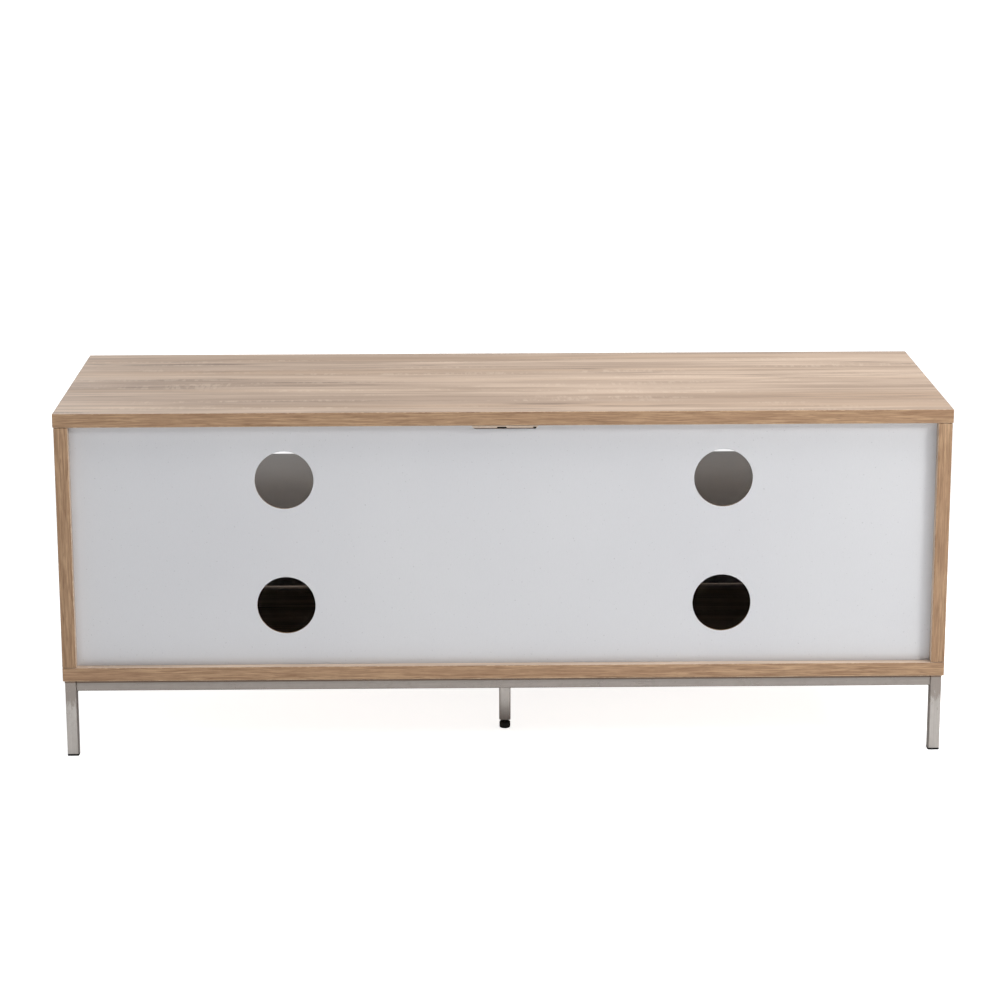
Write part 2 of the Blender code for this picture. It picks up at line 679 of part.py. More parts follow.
def build_stay_arm(name, side, tilt):
    """The flat bar: an eye on the bracket's pin and an upset stop at its free end."""
    outward = side * X_AXIS
    axis = axis_empty(f"{name}_arm_axis", (side * ARM_X, ARM_Y, ARM_Z))
    eye = ARM_WIDTH / 2 + OVERSHOOT
    bm = box_bmesh((ARM_THICK, ARM_LENGTH + eye, ARM_WIDTH))
    bmesh.ops.translate(bm, vec=Y_AXIS * (ARM_LENGTH - eye) / 2, verts=bm.verts)
    ends = [
        edge for edge in bm.edges
        if abs(edge.verts[0].co.x - edge.verts[1].co.x) > ARM_THICK / 2
    ]
    bevel_edges(bm, ends, ARM_WIDTH * 0.45, 4)
    arm = add_object(f"{name}_stay_arm", bm, axis.location, "zinc_steel", axis)
    arm.rotation_euler = tilt
    mouth = axis.location + outward * (ARM_THICK / 2)
    through = ARM_THICK + OVERSHOOT
    cut_bores(arm, f"{name}_arm_eye", [(mouth, -outward)], ARM_EYE_RADIUS, through, 12)
    along = Vector((0.0, math.cos(ARM_SLOPE), math.sin(ARM_SLOPE)))
    start = axis.location + along * STOP_ALONG_ARM - outward * (STOP_WIDTH / 2)
    boolean(arm, rod(f"{name}_arm_stop", start, outward, STOP_RADIUS, STOP_WIDTH), "UNION")


def build_stay(name, side):
    tilt = (ARM_SLOPE, 0.0, 0.0)
    build_stay_mount(name, side)
    build_stay_guide(name, side, tilt)
    build_stay_arm(name, side, tilt)


# ---- touch catches -------------------------------------------------------------------
def build_catch(name, side):
    """A housing under the shelf with a sprung plunger that the door is pressed against."""
    x = side * BAY_CENTRE
    top = SHELF_UNDER - GAP
    low = (x - CATCH_HALF_WIDTH, CATCH_FRONT, CATCH_Z - CATCH_DROP)
    high = (x + CATCH_HALF_WIDTH, CATCH_FRONT + CATCH_LENGTH, top)
    housing = box(f"{name}_catch_housing", low, high, "white_plastic")
    ear_y = CATCH_FRONT + EAR_BACK
    low = (x - EAR_HALF[0], ear_y - EAR_HALF[1], top - EAR_THICK)
    high = (x + EAR_HALF[0], ear_y + EAR_HALF[1], top)
    boolean(housing, box(f"{name}_catch_ears", low, high), "UNION")
    holes = catch_screw_places(side, top - EAR_THICK)
    cut_bores(housing, f"{name}_ear_holes", holes, SCREW_HOLE, EAR_BORE_DEPTH)
    mouth = [((x, CATCH_FRONT, CATCH_Z), Y_AXIS)]
    cut_bores(housing, f"{name}_catch_bore", mouth, *CATCH_BORE, 12)
    axis = axis_empty(f"{name}_plunger_axis", (x, CATCH_FRONT, CATCH_Z))
    tip = (x, DOOR_INNER + STRIKE_THICK + 2 * GAP, CATCH_Z)
    profile = [
        (0.0, 0.0),
        (PLUNGER_FACE_RADIUS, 0.0),
        (PLUNGER_TIP_RADIUS, -PLUNGER_TIP_EDGE),
        (PLUNGER_TIP_RADIUS, -PLUNGER_TIP_LENGTH),
        (PLUNGER_RADIUS, -PLUNGER_TIP_LENGTH),
        (PLUNGER_RADIUS, -PLUNGER_LENGTH),
        (0.0, -PLUNGER_LENGTH),
    ]
    turned(f"{name}_catch_plunger", profile, tip, -Y_AXIS, "white_plastic", axis)


# ---- base frame ----------------------------------------------------------------------
def rail_holes(y):
    """Driver holes in the lower wall and screw holes in the upper wall of a long rail."""
    access = [((x, y, FRAME_TOP - TUBE), Z_AXIS) for x in FRAME_SCREW_XS]
    through = [((x, y, FRAME_TOP), -Z_AXIS) for x in FRAME_SCREW_XS]
    depth = TUBE_WALL + OVERSHOOT
    return (
        ("access", access, ACCESS_RADIUS, depth),
        ("screws", through, FRAME_SCREW_RADIUS + GAP, depth),
    )


def build_base():
    inner = TUBE / 2 + GAP
    for name, y in (("front", -FRAME_Y), ("rear", FRAME_Y)):
        ends = ((-FRAME_X + inner, y, RAIL_Z), (FRAME_X - inner, y, RAIL_Z))
        square_tube(f"{name}_rail", *ends, holes=rail_holes(y))
    rails = (("left_end_rail", -FRAME_X), ("cross_rail", CENTRE_LEG_X), ("right_end_rail", FRAME_X))
    for name, x in rails:
        square_tube(name, (x, -FRAME_Y + inner, RAIL_Z), (x, FRAME_Y - inner, RAIL_Z))
    for name, side in SIDES:
        for place, y in (("front", -FRAME_Y), ("rear", FRAME_Y)):
            x = side * FRAME_X
            square_tube(f"{name}_{place}_leg", (x, y, CAP_FLANGE + GAP), (x, y, FRAME_TOP))
            build_leg_cap(f"{name}_{place}_leg_cap", x, y)
    low = (CENTRE_LEG_X, CENTRE_LEG_Y, CENTRE_LEG_BOTTOM)
    square_tube("centre_leg", low, (CENTRE_LEG_X, CENTRE_LEG_Y, FRAME_TOP - TUBE - GAP))


def build_leg_cap(name, x, y):
    """A push-in plug with a flange that is flush with the tube."""
    flange = box_bmesh((TUBE, TUBE, CAP_FLANGE))
    uprights = [
        edge for edge in flange.edges
        if abs(edge.verts[0].co.z - edge.verts[1].co.z) > CAP_FLANGE / 2
    ]
    bevel_edges(flange, uprights, TUBE_CORNER, 3)
    cap = add_object(name, flange, (x, y, CAP_FLANGE / 2), "black_plastic")
    half = TUBE / 2 - TUBE_WALL - CAP_PLUG_PLAY
    low = (x - half, y - half, CAP_FLANGE / 2)
    high = (x + half, y + half, CAP_FLANGE + CAP_PLUG_LENGTH)
    boolean(cap, box(f"{name}_plug", low, high), "UNION")


def build_centre_foot():
    """A threaded plug in the centre leg and the levelling foot that screws into it."""
    half = TUBE / 2 - TUBE_WALL - INSERT_PLAY
    x, y = CENTRE_LEG_X, CENTRE_LEG_Y
    low = (x - half, y - half, CENTRE_LEG_BOTTOM + GAP)
    high = (x + half, y + half, CENTRE_LEG_BOTTOM + INSERT_LENGTH)
    insert = box("centre_leg_insert", low, high, "black_plastic", edge=INSERT_EDGE)
    mouth = [((x, y, low[2]), Z_AXIS)]
    cut_bores(insert, "insert_thread", mouth, STUD_RADIUS + GAP, INSERT_BORE_DEPTH, 16)
    axis = axis_empty("levelling_foot_axis", (x, y, 0.0))
    profile = [
        (0.0, STUD_TOP),
        (STUD_RADIUS - STUD_TIP_EDGE, STUD_TOP),
        (STUD_RADIUS, STUD_TOP - STUD_TIP_EDGE),
        (STUD_RADIUS, FOOT_HEIGHT),
        (FOOT_RADIUS - FOOT_EDGE, FOOT_HEIGHT),
        (FOOT_RADIUS, FOOT_HEIGHT - FOOT_EDGE),
        (FOOT_RADIUS, FOOT_SOLE_EDGE),
        (FOOT_RADIUS - FOOT_SOLE_EDGE, 0.0),
        (0.0, 0.0),
    ]
    turned("levelling_foot", profile, axis.location, Z_AXIS, "black_plastic", axis, 20)


def build_frame_screws():
    seat = FRAME_TOP - TUBE_WALL - GAP
    profile = screw_profile(FRAME_SCREW_RADIUS, FRAME_SCREW_LENGTH, FRAME_SCREW_HEAD)
    for name, x, y in frame_screw_places():
        turned(name, profile, (x, y, seat), Z_AXIS, "zinc_steel", segments=10)


# ---- the whole stand -----------------------------------------------------------------
build_top_and_bottom()
build_divider()
build_back_panel()
build_anchor()
for side_name, side_sign in SIDES:
    build_side_panel(side_name, side_sign)
    build_shelf(side_name, side_sign)
    build_door(side_name, side_sign)
    build_pivot_bushes(side_name, side_sign)
    build_stay(side_name, side_sign)
    build_catch(side_name, side_sign)
build_base()
build_centre_foot()
build_frame_screws()
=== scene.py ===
import json
import math
import random

import bmesh
import bpy
from mathutils import Matrix, Vector


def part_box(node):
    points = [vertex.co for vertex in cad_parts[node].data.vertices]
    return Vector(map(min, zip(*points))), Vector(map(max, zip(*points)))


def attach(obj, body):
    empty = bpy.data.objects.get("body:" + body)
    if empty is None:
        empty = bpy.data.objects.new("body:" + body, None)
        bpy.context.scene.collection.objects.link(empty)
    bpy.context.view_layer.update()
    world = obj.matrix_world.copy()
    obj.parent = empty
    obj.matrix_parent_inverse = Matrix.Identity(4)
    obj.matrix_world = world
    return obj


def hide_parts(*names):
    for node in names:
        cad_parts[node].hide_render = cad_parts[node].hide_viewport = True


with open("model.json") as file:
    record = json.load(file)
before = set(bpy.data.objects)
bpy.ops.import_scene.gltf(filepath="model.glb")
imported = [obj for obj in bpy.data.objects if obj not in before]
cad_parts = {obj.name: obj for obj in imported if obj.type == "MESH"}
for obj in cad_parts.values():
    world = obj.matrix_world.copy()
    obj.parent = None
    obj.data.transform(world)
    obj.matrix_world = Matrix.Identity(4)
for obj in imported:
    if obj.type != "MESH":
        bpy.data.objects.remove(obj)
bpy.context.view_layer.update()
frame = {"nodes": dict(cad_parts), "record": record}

NODES = frame["nodes"]
SIDES = (("left", -1), ("right", 1))
X_AXIS = Vector((1, 0, 0))
Y_AXIS = Vector((0, 1, 0))
Z_AXIS = Vector((0, 0, 1))
MM = 0.001
random.seed(11)

# Camera: metres, degrees, and millimetres of lens and sensor.
CAMERA_PLACE = (0.0682, 3.7525, 1.1978)
CAMERA_PITCH = -13.567
CAMERA_YAW = -1.012
CAMERA_ROLL = 0.096
CAMERA_LENS = 103.46
CAMERA_SENSOR = 36.0

# Lamps: name, place, aim, size in metres, power in watts and colour.
WORLD_LIGHT = 0.13
SOFTBOXES = (
    ("key", (-2.5, 1.80, 1.75), (0.0, 0.2, 0.25), 0.7, 43.0, (1.0, 0.985, 0.96)),
    ("overhead", (-0.65, 0.40, 2.5), (0.0, 0.05, 0.4), 1.2, 46.0, (1.0, 0.99, 0.99)),
    ("side_fill", (2.7, 0.35, 0.9), (0.5, 0.0, 0.2), 0.9, 5.5, (1.0, 1.0, 1.0)),
    ("front_fill", (1.8, -2.6, 1.6), (0.0, 0.0, 0.25), 1.8, 27.0, (0.98, 0.99, 1.0)),
)

# Floor: metres, and the glow near, further off and far from its hub. What the camera sees is
# lifted further, from SEEN_NEAR at the hub to SEEN away from it.
FLOOR_SIZE = 60.0
FLOOR_DROP = 0.2 * MM
FLOOR_HUB_Y = -1.3
FLOOR_GLOW_RADII = (0.6, 1.5, 4.5)
FLOOR_SEEN_RADII = (0.4, 1.3)
FLOOR_GLOW_NEAR = 0.03
FLOOR_GLOW_MID = 0.17
FLOOR_GLOW_FAR = 0.62
FLOOR_GLOW_SEEN_NEAR = 0.36
FLOOR_GLOW_SEEN = 0.70

# Boards: where the glue line of an edge band starts and where the raw core shows; then the
# painted shade, near black, in the pocket behind the anchor strip's slot.
GLUE_START = (0.72 * MM, 0.80 * MM)
BAND_WIDTH = 1.2 * MM
SLOT_X = 2.6 * MM
SLOT_RISE = 2.6 * MM
SLOT_POCKET_SHADE_REACH = 14 * MM
SLOT_POCKET_SHADE = (13, 10, 9)


# ---- camera, floor and light ---------------------------------------------------------
def add_camera():
    """The camera stands behind the stand, a little to its +X side, and looks slightly down."""
    camera = bpy.data.objects.new("camera", bpy.data.cameras.new("camera"))
    camera.data.sensor_width = CAMERA_SENSOR
    camera.data.lens = CAMERA_LENS
    turn = Matrix.Rotation(math.radians(CAMERA_YAW), 4, "Z")
    turn = turn @ Matrix.Rotation(math.radians(CAMERA_PITCH), 4, "X")
    turn = turn @ Matrix.Rotation(math.radians(CAMERA_ROLL), 4, "Y")
    facing = Matrix.Rotation(math.pi, 4, "Z") @ turn @ Matrix.Rotation(math.pi / 2, 4, "X")
    facing.translation = CAMERA_PLACE
    camera.matrix_world = facing
    bpy.context.scene.collection.objects.link(camera)
    bpy.context.scene.camera = camera


def add_softbox(name, place, aim, size, power, colour):
    """A square area lamp with its centre at `place`, turned to face `aim`."""
    lamp = bpy.data.lights.new(name, "AREA")
    lamp.shape = "SQUARE"
    lamp.size = size
    lamp.energy = power
    lamp.color = colour
    holder = bpy.data.objects.new(name, lamp)
    holder.location = place
    holder.rotation_mode = "QUATERNION"
    holder.rotation_quaternion = (Vector(aim) - Vector(place)).to_track_quat("-Z", "Y")
    bpy.context.scene.collection.objects.link(holder)


def add_world(strength):
    """Soft grey-blue surroundings that the camera sees as plain white."""
    world = bpy.data.worlds.new("studio")
    bpy.context.scene.world = world
    world.use_nodes = True
    nodes, links = world.node_tree.nodes, world.node_tree.links
    nodes.clear()
    rays = nodes.new("ShaderNodeLightPath")
    soft = nodes.new("ShaderNodeBackground")
    soft.inputs["Color"].default_value = (0.93, 0.96, 1.0, 1.0)
    soft.inputs["Strength"].default_value = strength
    white = nodes.new("ShaderNodeBackground")
    white.inputs["Color"].default_value = (1.0, 1.0, 1.0, 1.0)
    white.inputs["Strength"].default_value = 1.0
    mix = nodes.new("ShaderNodeMixShader")
    links.new(rays.outputs["Is Camera Ray"], mix.inputs[0])
    links.new(soft.outputs[0], mix.inputs[1])
    links.new(white.outputs[0], mix.inputs[2])
    links.new(mix.outputs[0], nodes.new("ShaderNodeOutputWorld").inputs[0])


def add_floor(material):
    """A wide flat floor just under the feet."""
    mesh = bpy.data.meshes.new("floor")
    bm = bmesh.new()
    bmesh.ops.create_grid(bm, x_segments=8, y_segments=8, size=FLOOR_SIZE)
    bm.to_mesh(mesh)
    bm.free()
    mesh.materials.append(material)
    floor = bpy.data.objects.new("floor", mesh)
    floor.location.z = -FLOOR_DROP
    bpy.context.scene.collection.objects.link(floor)


# ---- node materials ------------------------------------------------------------------
def paint(red, green, blue):
    """A linear colour from the usual 0 to 255 display values."""
    values = [value / 255 for value in (red, green, blue)]
    linear = [v / 12.92 if v <= 0.04045 else ((v + 0.055) / 1.055) ** 2.4 for v in values]
    return (*linear, 1.0)


class Look:
    """A node material around one Principled shader; places are metres on the object."""

    def __init__(self, name, **surface):
        self.material = bpy.data.materials.new(name)
        self.material.use_nodes = True
        self.nodes = self.material.node_tree.nodes
        self.links = self.material.node_tree.links
        self.shader = self.nodes["Principled BSDF"]
        for socket, value in surface.items():
            self.shader.inputs[socket.replace("_", " ")].default_value = value
        spot = self.add("TexCoord")
        self.place = spot.outputs["Object"]
        self.facing = spot.outputs["Normal"]

    def add(self, kind, inputs=None, **settings):
        """A new shader node with its settings and its inputs, joined or set."""
        node = self.nodes.new("ShaderNode" + kind)
        for key, value in settings.items():
            setattr(node, key, value)
        for key, value in (inputs or {}).items():
            self.join(node.inputs[key], value)
        return node

    def join(self, socket, value):
        if isinstance(value, bpy.types.NodeSocket):
            self.links.new(value, socket)
        else:
            socket.default_value = value

    def math(self, operation, first, second=0.0):
        return self.add("Math", {0: first, 1: second}, operation=operation).outputs[0]

    def parts(self, vector):
        return self.add("SeparateXYZ", {0: vector}).outputs

    def scaled(self, scale, vector=None, shift=(0.0, 0.0, 0.0)):
        source = self.place if vector is None else vector
        inputs = {"Vector": source, "Location": shift, "Scale": scale}
        return self.add("Mapping", inputs).outputs[0]

    def noise(self, vector, detail=2.0, roughness=0.5, distortion=0.0):
        inputs = {
            "Vector": vector,
            "Scale": 1.0,
            "Detail": detail,
            "Roughness": roughness,
            "Distortion": distortion,
        }
        return self.add("TexNoise", inputs).outputs[0]

    def span(self, value, low, high, to_low=0.0, to_high=1.0):
        """Maps low..high to to_low..to_high and clamps outside."""
        node = self.add("MapRange", {0: value, 1: low, 2: high, 3: to_low, 4: to_high})
        return node.outputs[0]

    def mix(self, factor, first, second):
        node = self.add("Mix", data_type="RGBA")
        self.join(node.inputs[0], factor)
        self.join(node.inputs[6], first)
        self.join(node.inputs[7], second)
        return node.outputs[2]

    def mix_vector(self, factor, first, second):
        node = self.add("Mix", data_type="VECTOR")
        self.join(node.inputs[0], factor)
        self.join(node.inputs[4], first)
        self.join(node.inputs[5], second)
        return node.outputs[1]

    def bump(self, height, distance):
        inputs = {"Height": height, "Distance": distance, "Strength": 1.0}
        return self.add("Bump", inputs).outputs[0]

    def depths(self, low, high):
        """Depth below the nearest face of a box, and distance to that face's nearest edge."""
        parts = self.parts(self.place)
        near = []
        for axis in range(3):
            from_low = self.math("SUBTRACT", parts[axis], low[axis])
            from_high = self.math("SUBTRACT", high[axis], parts[axis])
            near.append(self.math("MINIMUM", from_low, from_high))
        lesser = self.math("MINIMUM", near[0], near[1])
        greater = self.math("MAXIMUM", near[0], near[1])
        depth = self.math("MINIMUM", lesser, near[2])
        edge = self.math("MAXIMUM", lesser, self.math("MINIMUM", greater, near[2]))
        return depth, edge

    def finish(self, colour, roughness, normal=None):
        """Joins the last sockets to the shader and hands back the material."""
        self.join(self.shader.inputs["Base Color"], colour)
        self.join(self.shader.inputs["Roughness"], roughness)
        if normal is not None:
            self.join(self.shader.inputs["Normal"], normal)
        return self.material


def chipboard(look):
    """Raw particle board, seen only inside bores and grooves."""
    flakes = look.noise(look.scaled((420, 420, 420)), 3.0, 0.7)
    return look.mix(look.span(flakes, 0.35, 0.65), paint(120, 92, 62), paint(196, 168, 130))


def near_point(look, point, reach):
    """1 within `reach` of a point on the object, else 0."""
    away = look.add("VectorMath", {0: look.place, 1: point}, operation="DISTANCE")
    return look.math("LESS_THAN", away.outputs["Value"], reach)


def decor_face(look, grain):
    """Pale grey-pink oak: soft bands, streaks, dark veins, fibres and light saw marks."""
    bands = look.noise(look.scaled((1.1, 13, 13), grain), 2.0, 0.5, 0.3)
    colour = look.mix(look.span(bands, 0.36, 0.64), paint(188, 167, 150), paint(222, 200, 180))
    warmth = look.noise(look.scaled((0.8, 22, 22), grain, (3, 7, 1)), 2.0)
    colour = look.mix(look.span(warmth, 0.50, 0.72, 0.0, 0.55), colour, paint(196, 168, 142))
    streaks = look.noise(look.scaled((3.5, 85, 85), grain, (1, 2, 5)), 4.0, 0.6)
    colour = look.mix(look.span(streaks, 0.42, 0.64, 0.0, 0.58), colour, paint(156, 136, 120))
    veins = look.noise(look.scaled((6.5, 150, 150), grain, (9, 4, 2)), 3.0, 0.55)
    patches = look.noise(look.scaled((2.2, 16, 16), grain, (4, 9, 6)), 1.0)
    vein = look.math(
        "MULTIPLY", look.span(veins, 0.54, 0.66), look.span(patches, 0.52, 0.66, 0.0, 0.9)
    )
    colour = look.mix(vein, colour, paint(116, 102, 94))
    marks = look.noise(look.scaled((175, 34, 34), grain, (2, 5, 3)), 2.0, 0.5, 0.4)
    rows = look.noise(look.scaled((3.4, 44, 44), grain, (8, 3, 7)), 1.0)
    mark = look.math(
        "MULTIPLY", look.span(marks, 0.50, 0.60), look.span(rows, 0.56, 0.66, 0.0, 0.28)
    )
    colour = look.mix(mark, colour, paint(232, 214, 194))
    fibres = look.noise(look.scaled((18, 900, 900), grain), 2.0, 0.6)
    colour = look.mix(look.span(fibres, 0.35, 0.70, 0.0, 0.20), colour, paint(150, 128, 108))
    height = look.math("ADD", fibres, look.math("MULTIPLY", vein, -0.8))
    return colour, height


def decor_band(look, grain):
    """Edge band: browner, with close wavy lines along its length."""
    waves = look.noise(look.scaled((20, 420, 420), grain, (5, 1, 4)), 3.0, 0.6, 0.7)
    colour = look.mix(look.span(waves, 0.34, 0.66), paint(152, 118, 90), paint(198, 164, 130))
    broad = look.noise(look.scaled((4, 60, 60), grain, (2, 8, 1)), 2.0)
    colour = look.mix(look.span(broad, 0.45, 0.68, 0.0, 0.45), colour, paint(168, 131, 102))
    pores = look.noise(look.scaled((60, 1300, 1300), grain, (7, 2, 9)), 2.0, 0.6)
    colour = look.mix(look.span(pores, 0.56, 0.72, 0.0, 0.6), colour, paint(118, 88, 64))
    return colour, pores


def oak(name, low, high, upright=False, pocket=None):
    """Oak-look board. The grain runs along X on level boards and along Z on uprights."""
    look = Look(name, Specular_IOR_Level=0.35)
    n = look.parts(look.facing)
    p = look.parts(look.place)
    if upright:
        flat = look.math("ABSOLUTE", n[0])
        grain = look.add("CombineXYZ", {0: p[2], 1: p[1], 2: p[0]}).outputs[0]
    else:
        flat = look.math("ABSOLUTE", n[2])
        end = look.math("GREATER_THAN", look.math("ABSOLUTE", n[0]), 0.6)
        turned = look.add("CombineXYZ", {0: p[1], 1: p[0], 2: p[2]}).outputs[0]
        grain = look.mix_vector(end, look.place, turned)
    on_face = look.math("GREATER_THAN", flat, 0.75)
    face, relief = decor_face(look, grain)
    band, pores = decor_band(look, grain)
    colour = look.mix(on_face, band, face)
    height = look.add("Mix", {0: on_face, 2: pores, 3: relief}, data_type="FLOAT").outputs[0]
    depth, edge = look.depths(low, high)
    glue = look.math("MULTIPLY", on_face, look.span(edge, 0.9 * MM, 1.1 * MM, 1.0, 0.0))
    glue = look.math("MULTIPLY", glue, look.span(edge, *GLUE_START, 0.0, 0.75))
    colour = look.mix(glue, colour, paint(120, 92, 68))
    rubs = look.noise(look.scaled((130, 130, 130)), 3.0, 0.6)
    worn = look.span(edge, 0.2 * MM, 1.4 * MM, 1.0, 0.0)
    worn = look.math("MULTIPLY", worn, look.span(rubs, 0.48, 0.66, 0.0, 0.75))
    colour = look.mix(worn, colour, paint(222, 196, 166))
    inside = look.math("GREATER_THAN", depth, BAND_WIDTH)
    colour = look.mix(inside, colour, chipboard(look))
    # Painted shade: faces close behind the anchor strip's slot are painted near black.
    if pocket is not None:
        colour = look.mix(near_point(look, pocket, SLOT_POCKET_SHADE_REACH), colour, paint(*SLOT_POCKET_SHADE))
    haze = look.noise(look.scaled((7, 7, 7)), 4.0, 0.6)
    roughness = look.math(
        "ADD", look.span(haze, 0.3, 0.7, 0.44, 0.58), look.span(worn, 0, 1, 0, 0.12)
    )
    return look.finish(colour, roughness, look.bump(height, 0.09 * MM))


def white_board(name, low, high):
    """White melamine with a slightly creamier edge band and fine orange peel."""
    look = Look(name, Specular_IOR_Level=0.45)
    clouds = look.noise(look.scaled((9, 9, 9)), 3.0)
    colour = look.mix(look.span(clouds, 0.3, 0.7), paint(232, 232, 231), paint(240, 240, 239))
    specks = look.noise(look.scaled((640, 640, 640)), 1.0)
    colour = look.mix(look.span(specks, 0.73, 0.77, 0.0, 0.35), colour, paint(176, 172, 164))
    depth, edge = look.depths(low, high)
    seam = look.math(
        "MULTIPLY", look.span(edge, 0.95 * MM, 1.15 * MM, 1.0, 0.0), look.span(edge, *GLUE_START)
    )
    colour = look.mix(look.math("MULTIPLY", seam, 0.45), colour, paint(170, 160, 144))
    rubs = look.noise(look.scaled((110, 110, 110)), 3.0, 0.6)
    worn = look.math(
        "MULTIPLY", look.span(edge, 0.2 * MM, 1.3 * MM, 1.0, 0.0), look.span(rubs, 0.52, 0.68)
    )
    colour = look.mix(look.math("MULTIPLY", worn, 0.35), colour, paint(198, 190, 174))
    colour = look.mix(look.math("GREATER_THAN", depth, BAND_WIDTH), colour, chipboard(look))
    peel = look.noise(look.scaled((420, 420, 420)), 2.0)
    smear = look.noise(look.scaled((26, 26, 26), shift=(4, 4, 4)), 4.0, 0.6)
    roughness = look.span(smear, 0.3, 0.7, 0.30, 0.46)
    return look.finish(colour, roughness, look.bump(peel, 0.05 * MM))


def white_back(name, low, high, pocket):
    """Lacquered hardboard: satin white with painted shade near its outline, brown on its cut
    edges.
    """
    look = Look(name, Specular_IOR_Level=0.4)
    clouds = look.noise(look.scaled((3.2, 3.2, 3.2)), 3.0)
    colour = look.mix(look.span(clouds, 0.3, 0.7), paint(221, 222, 226), paint(226, 227, 230))
    specks = look.noise(look.scaled((330, 330, 330)), 2.0)
    colour = look.mix(look.span(specks, 0.68, 0.73, 0.0, 0.30), colour, paint(150, 150, 152))
    rolled = look.noise(look.scaled((900, 900, 160)), 2.0)
    colour = look.mix(look.span(rolled, 0.35, 0.7, 0.0, 0.05), colour, paint(190, 192, 196))
    edge = look.depths(low, high)[1]
    # Painted shade: darker close inside the panel's visible outline, where the boards overhang it.
    painted_border_shade = look.span(edge, 6 * MM, 15 * MM, 0.16, 0.0)
    colour = look.mix(painted_border_shade, colour, paint(132, 126, 122))
    n = look.parts(look.facing)
    cut = look.math("LESS_THAN", look.math("ABSOLUTE", n[1]), 0.5)
    fibre = look.noise(look.scaled((260, 2400, 260)), 3.0, 0.7)
    raw = look.mix(look.span(fibre, 0.3, 0.7), paint(112, 84, 58), paint(176, 144, 108))
    colour = look.mix(cut, colour, raw)
    # Painted shade: cut edges close behind the anchor strip's slot are painted near black.
    slot_pocket_shaded = look.math("MULTIPLY", cut, near_point(look, pocket, SLOT_POCKET_SHADE_REACH))
    colour = look.mix(slot_pocket_shaded, colour, paint(*SLOT_POCKET_SHADE))
    felt = look.noise(look.scaled((520, 520, 520), shift=(1, 8, 3)), 3.0, 0.6)
    satin = look.span(rolled, 0.3, 0.7, 0.42, 0.54)
    roughness = look.math("ADD", satin, look.math("MULTIPLY", cut, 0.35))
    return look.finish(colour, roughness, look.bump(felt, 0.05 * MM))


def leg_shading(look, colour, under):
    """Painted shade at a leg's top, with a ragged edge, and on the sides that face inward."""
    # Painted shade: the leg's top, close under the board, is painted darker with a ragged edge.
    patches = look.noise(look.scaled((300, 300, 120), shift=(3, 6, 1)), 3.0, 0.6)
    ragged = look.math("ADD", under, look.span(patches, 0.3, 0.7, -9 * MM, 9 * MM))
    cast = look.span(ragged, 26 * MM, 36 * MM, 0.85, 0.0)
    colour = look.mix(cast, colour, paint(148, 139, 132))
    # Painted shade on the leg's sides that face the middle, below the rail.
    facing, place = look.parts(look.facing)[0], look.parts(look.place)[0]
    painted_inner_shade = look.math("LESS_THAN", look.math("MULTIPLY", facing, place), -0.2)
    painted_inner_shade = look.math("MULTIPLY", painted_inner_shade, look.span(under, 14 * MM, 16 * MM, 0.0, 0.75))
    return look.mix(painted_inner_shade, colour, paint(118, 112, 108))


def plated(name, axis, dark, light, top, shaded=None):
    """Satin-plated tube: fine draw lines along `axis`, smudges and a few dull spots.

    Close under the board at height `top` a brown contact shadow is painted on; a rail's lower
    edge gets painted shade, and below a height `shaded` the tube is painted darker towards the
    floor as shade."""
    look = Look(name, Metallic=1.0)
    stretch = [1500.0, 1500.0, 1500.0]
    stretch[axis] = 14.0
    lines = look.noise(look.scaled(stretch), 2.0, 0.6)
    smudges = look.noise(look.scaled((38, 38, 38)), 4.0, 0.6)
    colour = look.mix(look.span(smudges, 0.3, 0.7), dark, light)
    colour = look.mix(look.span(lines, 0.3, 0.7, 0.0, 0.26), colour, paint(134, 128, 124))
    dull = look.noise(look.scaled((260, 260, 260), shift=(5, 2, 6)), 2.0)
    colour = look.mix(look.span(dull, 0.68, 0.74, 0.0, 0.5), colour, paint(118, 110, 102))
    height = look.parts(look.place)[2]
    under = look.math("SUBTRACT", top, height)
    if axis == 2:
        colour = leg_shading(look, colour, under)
    else:
        # Painted shade along a rail's lower edge.
        painted_edge_shade = look.span(under, 13.6 * MM, 14.6 * MM, 0.0, 0.55)
        colour = look.mix(painted_edge_shade, colour, paint(104, 96, 92))
    if shaded is not None:
        # Painted shade: darker towards the floor, standing in for the shaded floor the leg
        # reflects.
        low = look.span(height, 12 * MM, shaded, 0.70, 0.0)
        colour = look.mix(low, colour, paint(98, 88, 84))
    # Painted contact shadow: dark brown within a few millimetres under the board.
    painted_contact_shade = look.span(under, 3.2 * MM, 4.4 * MM, 0.85, 0.0)
    colour = look.mix(painted_contact_shade, colour, paint(112, 92, 76))
    rough = look.math(
        "ADD", look.span(smudges, 0.3, 0.7, 0.22, 0.34), look.span(lines, 0.3, 0.7, 0, 0.08)
    )
    return look.finish(colour, rough, look.bump(lines, 0.012 * MM))


def zinc(name):
    """Zinc-plated steel with faint crystal patches and stamping scuffs."""
    look = Look(name, Metallic=1.0)
    cells = look.add("TexVoronoi", {"Vector": look.scaled((520, 520, 520)), "Scale": 1.0})
    grey = look.add("RGBToBW", {0: cells.outputs["Color"]}).outputs[0]
    colour = look.mix(look.span(grey, 0.1, 0.9), paint(186, 187, 186), paint(206, 207, 204))
    scuff = look.noise(look.scaled((90, 700, 90)), 3.0, 0.6)
    colour = look.mix(look.span(scuff, 0.55, 0.72, 0.0, 0.4), colour, paint(150, 148, 140))
    rough = look.math(
        "ADD", look.span(grey, 0.1, 0.9, 0.28, 0.40), look.span(scuff, 0.4, 0.7, 0, 0.12)
    )
    return look.finish(colour, rough, look.bump(scuff, 0.02 * MM))


